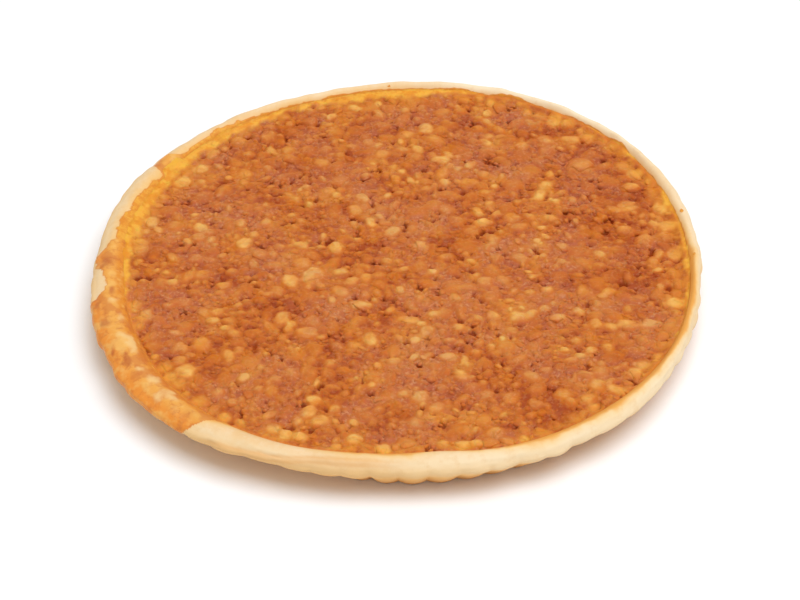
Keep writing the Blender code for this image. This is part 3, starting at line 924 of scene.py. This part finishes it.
def caramelRasters(groups, wall):
    # level of the caramel and the fields its paint reads: base, nuts, gaps, bare custard, skin, fine grain
    count = int(2 * core["half"] / core["cell"]) + 1
    line = np.arange(count) * core["cell"] - core["half"]
    x, y = np.meshgrid(line, line)
    angle, reach = np.arctan2(y, x), np.hypot(x, y)
    past, end, level = reach - fillEdge(angle), climbReach(angle), fillTop(x, y)
    field, glow = settleNuts(x, y, caramelBase(x, y, past, level), groups)
    field = cutGaps(x, y, field)

    # bare custard next to the pastry is smooth but for its bubbles
    wander = 1.1 * mm * cloudNoise(x, y, 0.0, 4.0 * mm, 58, 2) - past
    bare = 1.0 - ease(wander - bandReach(angle), -0.4 * mm, 0.9 * mm)
    bubbles = ease(latticeNoise(x / core["bubble"], y / core["bubble"], 0.5, 56), 0.42, 0.75)
    smooth = level - 0.4 * mm * ease(-past, -0.5 * mm, 2.5 * mm) - core["bubbleDepth"] * bubbles
    smooth = smooth + 0.4 * mm * cloudNoise(x, y, 0.0, 3.2 * mm, 53, 3)
    field = field * (1 - bare) + np.maximum(smooth, field - 0.2 * mm) * bare

    field = laySkin(field, wallHeight(wall, angle, past), past, end)
    inside = 1.0 - ease(past - end, -1.2 * mm, -0.4 * mm)
    field = field + core["grain"] * cloudNoise(x, y, 0.0, 1.3 * mm, 54, 2) * (1 - 0.6 * bare) * inside

    bake = 0.0
    for cx, cy, size, strength in core["baked"]:
        bake = bake + strength * np.exp(-((x - cx * mm) ** 2 + (y - cy * mm) ** 2) / (size * mm) ** 2)
    gold = np.exp(-((np.minimum(past, 0.0) / (4.0 * mm)) ** 2))
    # painted light: a band round the seam where filling meets pastry, filling in the dark line of shade there
    seam = np.exp(-(((past - 0.3 * mm) / (0.9 * mm)) ** 2))
    verge = np.maximum(ease(past - end, -1.6 * mm, -0.2 * mm), seam)
    return {"level": field, "bare": bare, "glow": glow, "bake": bake, "bubbles": bubbles * bare,
            "gold": gold, "verge": verge}


paintFields = ("bare", "glow", "bake", "bubbles", "gold", "verge")  # rasters the filling's paint reads


def fillingPiece(name, points, faces, rasters, material):
    # each paint field is read from its raster, and depth is how far a point lies below the filling's level
    fields = {label: sample(rasters[label], points[:, 0], points[:, 1]) for label in paintFields}
    fields["depth"] = (fillTop(points[:, 0], points[:, 1]) - points[:, 2]) / mm
    return makePiece(name, points, faces, material, fields)


def discGrid(steps):  # a square grid laid concentrically on the unit disc, so it has no seam or pole
    line = np.linspace(-1.0, 1.0, steps + 1)
    u, v = np.meshgrid(line, line)
    wide = np.abs(u) > np.abs(v)
    reach = np.where(wide, u, v)
    turn = np.where(wide, v / np.where(u == 0, 1, u), u / np.where(v == 0, 1, v)) * math.pi / 4
    x = np.where(wide, reach * np.cos(turn), reach * np.sin(turn))
    y = np.where(wide, reach * np.sin(turn), reach * np.cos(turn))
    return x, y


def makeCore(rasters, material):
    # the disc grid at the caramel's level, closed below by rings that draw in to a middle point
    steps = core["steps"]
    x, y = discGrid(steps)
    angle = np.arctan2(y, x)
    edge = fillEdge(angle) + climbReach(angle) + core["buried"]
    x, y = x * edge, y * edge
    z = sample(rasters["level"], x, y)
    index = np.arange((steps + 1) ** 2).reshape(steps + 1, steps + 1)
    faces = np.stack((index[:-1, :-1], index[:-1, 1:], index[1:, 1:], index[1:, :-1]), -1)
    faces = faces.reshape(-1, 4).tolist()
    border = np.r_[index[0, :-1], index[:-1, -1], index[-1, :0:-1], index[:0:-1, 0]]
    points = np.column_stack((x.ravel(), y.ravel(), z.ravel()))
    after = np.roll(np.arange(len(border)), -1)
    above, rings = border, [points]
    for inward, level in core["underside"]:
        rings.append(points[border] * (inward, inward, 0.0) + (0.0, 0.0, level))
        low = sum(len(ring) for ring in rings[:-1]) + np.arange(len(border))
        faces += np.column_stack((above, low, low[after], above[after])).tolist()
        above = low
    middle = above[-1] + 1
    faces += np.column_stack((np.full(len(border), middle), above[after], above)).tolist()
    points = np.vstack((*rings, ((0.0, 0.0, core["underside"][-1][1]),)))
    piece = fillingPiece("caramel_core", points, faces, rasters, material)
    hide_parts("filling")


def nutPiece(name, p, faces, rasters, material):
    # above the caramel a nut rises as h*h / (h + fillet), so the caramel clings to its foot
    points = p.reshape(-1, 3).copy()
    ground = sample(rasters["level"], points[:, 0], points[:, 1])
    proud = np.maximum(points[:, 2] - ground, 0.0)
    rise = proud * proud / (proud + core["fillet"])
    points[:, 2] = np.minimum(points[:, 2], ground) + rise - core["drawnIn"]
    return fillingPiece(name, points, faces.tolist(), rasters, material)


fillingColours = {
    "amber": (230, 132, 20), "skin": (202, 116, 78), "sparkle": (244, 184, 132),
    "nutRim": (210, 108, 8), "edge": (228, 132, 40), "goldNut": (250, 176, 60), "pit": (164, 64, 2),
    "custard": (252, 188, 68), "warmCustard": (241, 158, 44), "bubble": (222, 126, 26),
    "custardNut": (246, 190, 96), "verge": (252, 156, 56),
}
# from caramel to bare nut: (share, colour)
fillingTones = ((0.0, (178, 78, 26)), (0.25, (203, 107, 44)), (0.45, (219, 130, 56)),
                (0.65, (231, 150, 66)), (0.85, (241, 170, 82)), (1.0, (248, 190, 102)))


def fillingMaterial(name, scatterReach):
    # yellow-orange where a nut lies at the surface, red-brown film elsewhere, with painted shade darker in
    # the pits
    board = Board(name, core["roughness"], fillingColours, **{
        "Specular IOR Level": 0.16, "Subsurface Weight": 0.75, "Subsurface Radius": (1.0, 0.6, 0.3),
        "Subsurface Scale": scatterReach})
    stops = [(share, shade(*colour)) for share, colour in fillingTones]
    bare, glow, bake, bubbles, gold, verge = (board.field(label) for label in paintFields)
    depth = board.field("depth")
    broad = board.noise(0.016, 2.0)
    middling = board.noise(0.0045, 3.0, 0.55)
    grain = board.noise(0.0012, 3.0, 0.6)
    tone = glow * 0.88 + (middling - 0.5) * 0.85 + (broad - 0.5) * 1.5 - bake * 0.16 + 0.13
    tone = tone + (grain - 0.5) * 0.1
    amber = board.noise(0.007, 3.0, 0.6).between(0.5, 0.66)
    # redder patches of caramel film; their pink tint is a painted sheen, the veil of a soft reflection, and
    # they are also made glossier
    skin = board.noise(0.02, 3.0, 0.55).between(0.42, 0.64) * (1.0 - glow * 0.5)
    # painted glints: tiny pale specks standing in for highlights on the sugary film
    sparkle = board.noise(0.0013, 2.0, 0.5).between(0.5, 0.68) * (0.16 + 0.2 * skin)
    # painted shade: a deep orange ring at each nut's side where it meets the caramel, standing in for its
    # shaded, translucent side
    rim = glow.between(0.1, 0.3) * (1.0 - glow.between(0.35, 0.7))
    colour = board.coats(board.node("ShaderNodeValToRGB", {"stops": stops}, {"Fac": tone}), {
        "amber": amber * 0.5,
        "skin": skin * 0.6,
        "sparkle": sparkle,
        "nutRim": rim * 0.45,
        "edge": gold * 0.2,
        "goldNut": gold * glow * 0.8,
        # painted shade: darker the deeper a point lies below the filling's level
        "pit": depth.between(1.2, 2.4) * 0.9,
    })
    custard = board.coats(board.mix(middling.between(0.4, 0.6), "custard", "warmCustard"), {
        "bubble": bubbles * 0.7,
        "custardNut": glow * 0.5,
    })
    colour = board.mix(bare, colour, custard)
    # painted light at the seam with the pastry, making up for the shade there
    colour = board.mix(verge * (0.6 - 0.4 * bare), colour, "verge")
    board.feed("Base Color", colour)
    board.feed("Roughness", core["roughness"] - 0.2 * skin)
    board.bump(grain + middling * 0.6, 0.0004, 0.5)
    return board.material


def makeFilling(wall):  # nuts are strewn and shaped first, then the caramel settles round them
    kinds = ("large", "fringe", "chunks", "dice", "bits", "crumbs")
    placed = scatter(kinds[2:], (largePieces(), fringePieces()))
    shapes = [shapeNuts(rows, nuts[kind], 60 + k) for k, (kind, rows) in enumerate(zip(kinds, placed))]
    groups = [(rows, p[..., 2].max(axis=1), tone, nuts[kind]["bare"])
              for kind, rows, (p, _, tone) in zip(kinds, placed, shapes)]
    rasters = caramelRasters(groups, wall)
    print("caramel settled round the nuts")
    makeCore(rasters, fillingMaterial("baked_caramel", 0.0014))
    material = fillingMaterial("caramel_nut", 0.0008)
    pieces = [nutPiece("nuts_" + kind, p, faces, rasters, material)
              for kind, (p, faces, _) in zip(kinds, shapes)]
    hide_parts(*sorted(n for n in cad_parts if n.startswith("nut_")))


makeStudio()
makeFilling(makeCrust(pastryMaterial()))
